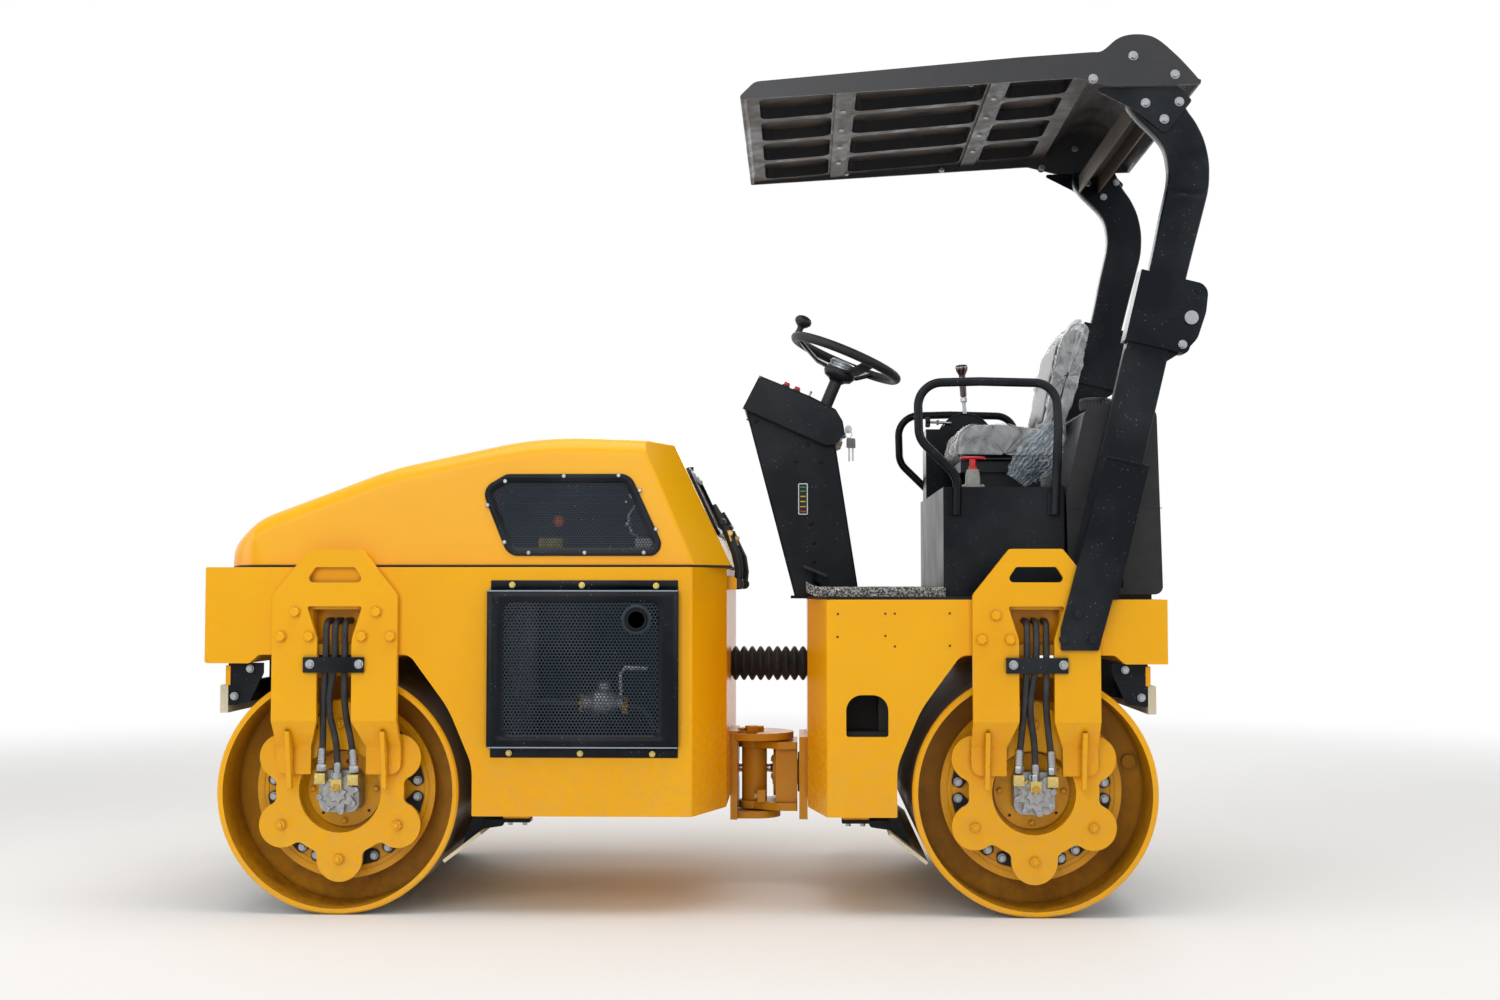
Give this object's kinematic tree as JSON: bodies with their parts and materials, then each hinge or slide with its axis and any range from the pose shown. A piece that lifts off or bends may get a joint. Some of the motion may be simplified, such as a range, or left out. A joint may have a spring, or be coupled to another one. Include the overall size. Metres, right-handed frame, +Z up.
{
  "type": "tandem road roller",
  "caption": "Small articulated tandem roller: smooth steel drums, lobed drum carriers, yellow hood and frames, operator's seat under a folding roll-over canopy.",
  "frame": {"origin": "on the ground, under the middle of the whole machine's box", "axes": "+X from the hood's nose to the operator's end, +Y to the machine's right-hand side seen from the seat looking at the hood, +Z up"},
  "size_m": [2.9022, 1.328, 2.553],
  "materials": {
    "yellow_paint": "semi-gloss",
    "black_paint": "satin",
    "grey_paint": "satin",
    "drum_steel": "satin",
    "zinc_steel": "satin",
    "cast_iron": "rough",
    "chrome_rod": "polished",
    "rubber": "matt",
    "black_plastic": "matt",
    "cream_plastic": "matt",
    "canopy_plastic": "textured",
    "mat_fabric": "looped",
    "seat_vinyl": "grained",
    "hitch_yellow": "semi-gloss, thinly coated",
    "yellow_zinc": "passivated",
    "cast_aluminium": "as cast",
    "brass": "machined",
    "hose_rubber": "cloth-wrapped",
    "lever_wood": "varnished",
    "red_plastic": "glossy",
    "grey_plastic": "satin"
  },
  "bodies": {
    "rear_end": {"rear_frame": "yellow_paint", "osc_shaft": "hitch_yellow", "rear_forks": "yellow_paint", "rear_drives": "cast_aluminium", "rear_buffers": "rubber", "rear_hoses": "hose_rubber", "floor_plate": "black_paint", "floor_mat": "mat_fabric", "console": "black_paint", "steering_wheel": "black_plastic", "seat_pedestal": "black_paint", "travel_lever": "chrome_rod", "seat_base": "grey_paint", "seat_cushions": "seat_vinyl", "hand_rails": "black_paint", "rear_tank": "black_plastic", "lower_posts": "black_paint", "fold_pins": "zinc_steel", "rear_scraper_bars": "black_paint", "rear_scraper_blades": "cream_plastic", "bellows_rear": "black_plastic"},
    "knuckle_body": {"knuckle": "hitch_yellow"},
    "front_end": {"front_frame": "yellow_paint", "hitch_clevis": "hitch_yellow", "engine": "grey_paint", "vent_pans": "black_paint", "exhaust_pipe": "zinc_steel", "hood_seal": "rubber", "front_forks": "yellow_paint", "front_drives": "cast_aluminium", "front_buffers": "rubber", "front_hoses": "hose_rubber", "front_scraper_bars": "black_paint", "front_scraper_blades": "cream_plastic", "bellows_front": "black_plastic"},
    "front_roll": {"front_drum": "drum_steel"},
    "rear_roll": {"rear_drum": "drum_steel"},
    "hood_body": {"hood": "yellow_paint", "hood_grilles": "black_paint"},
    "canopy_body": {"upper_arches": "black_paint", "arch_channel": "black_paint", "canopy": "canopy_plastic"},
    "steer_barrel_body": {"steer_barrel": "black_paint"},
    "steer_rod_body": {"steer_rod": "chrome_rod"}
  },
  "joints": [
    {"name": "oscillate", "type": "hinge", "parent": "rear_end", "child": "knuckle_body", "pos_m": [0.21586, 0, 0.35], "axis": [1, 0, 0], "range_deg": [-8, 8], "deforming": ["bellows_rear"]},
    {"name": "steer", "type": "hinge", "parent": "knuckle_body", "child": "front_end", "pos_m": [0.11586, 0, 0.35], "axis": [0, 0, 1], "range_deg": [-30, 30], "deforming": ["bellows_front"]},
    {"name": "front_drum_spin", "type": "hinge", "parent": "front_end", "child": "front_roll", "pos_m": [-1.06914, 0, 0.35], "axis": [0, 1, 0], "continuous": true},
    {"name": "rear_drum_spin", "type": "hinge", "parent": "rear_end", "child": "rear_roll", "pos_m": [0.93086, 0, 0.35], "axis": [0, 1, 0], "continuous": true},
    {"name": "hood_lift", "type": "hinge", "parent": "front_end", "child": "hood_body", "pos_m": [-1.42514, 0, 1.004], "axis": [0, -1, 0], "range_deg": [0, 55]},
    {"name": "canopy_fold", "type": "hinge", "parent": "rear_end", "child": "canopy_body", "pos_m": [1.39586, 0, 1.718], "axis": [0, 1, 0], "range_deg": [0, 180]},
    {"name": "steer_barrel_swing", "type": "hinge", "parent": "front_end", "child": "steer_barrel_body", "pos_m": [-0.35914, 0.13, 0.35], "axis": [0, 0, 1], "range_deg": [-5, 5]},
    {"name": "steer_rod_slide", "type": "slide", "parent": "steer_barrel_body", "child": "steer_rod_body", "axis": [1, 0, 0], "range_m": [-0.07, 0.07]}
  ],
  "couplings": [
    {"joint": "steer_barrel_swing", "follows": "steer", "ratio": -0.13},
    {"joint": "steer_rod_slide", "follows": "steer", "m_per_rad": 0.1245}
  ]
}
